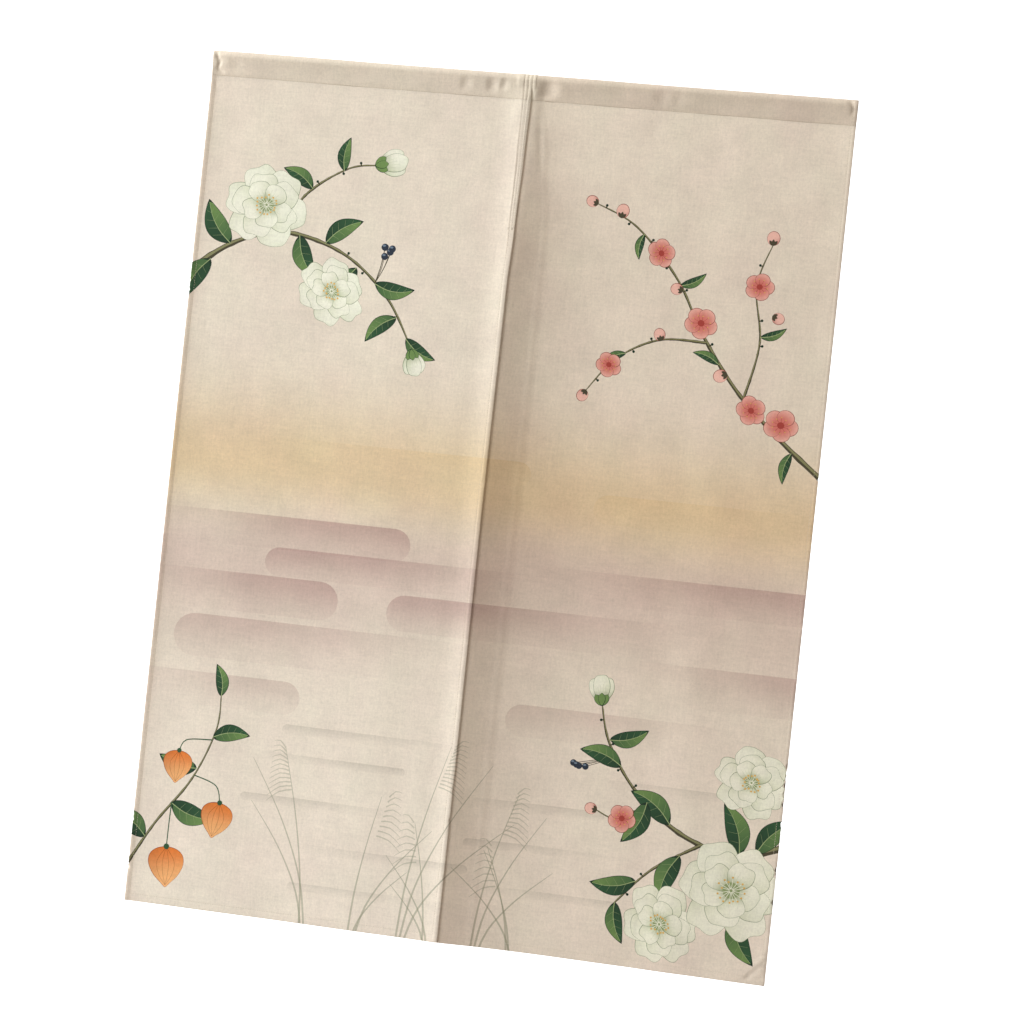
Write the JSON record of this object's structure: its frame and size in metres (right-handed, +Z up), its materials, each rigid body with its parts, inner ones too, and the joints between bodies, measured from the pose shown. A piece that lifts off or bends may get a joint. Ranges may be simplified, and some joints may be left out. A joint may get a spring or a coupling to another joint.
{
  "type": "noren curtain",
  "caption": "Doorway curtain of printed linen-look cloth, its panels lapped and sewn at the top, parted below, hung from a rod pocket along the top edge.",
  "frame": {"origin": "middle of the top edge of the rod pocket, where a rod carries the curtain", "axes": "+X to the right across the curtain, -Y the printed front, +Z up"},
  "size_m": [0.9, 0.0193, 1.2],
  "materials": {
    "heading_cloth": "cream linen-look cloth, folded over and stitched, plain and slightly puckered",
    "panel_cloth": "cream linen-look cloth with a fine irregular slub, matt, printed in peach, mauve, green and coral"
  },
  "bodies": {
    "root": {"heading": "heading_cloth", "left_panel": "panel_cloth", "right_panel": "panel_cloth"}
  },
  "joints": []
}
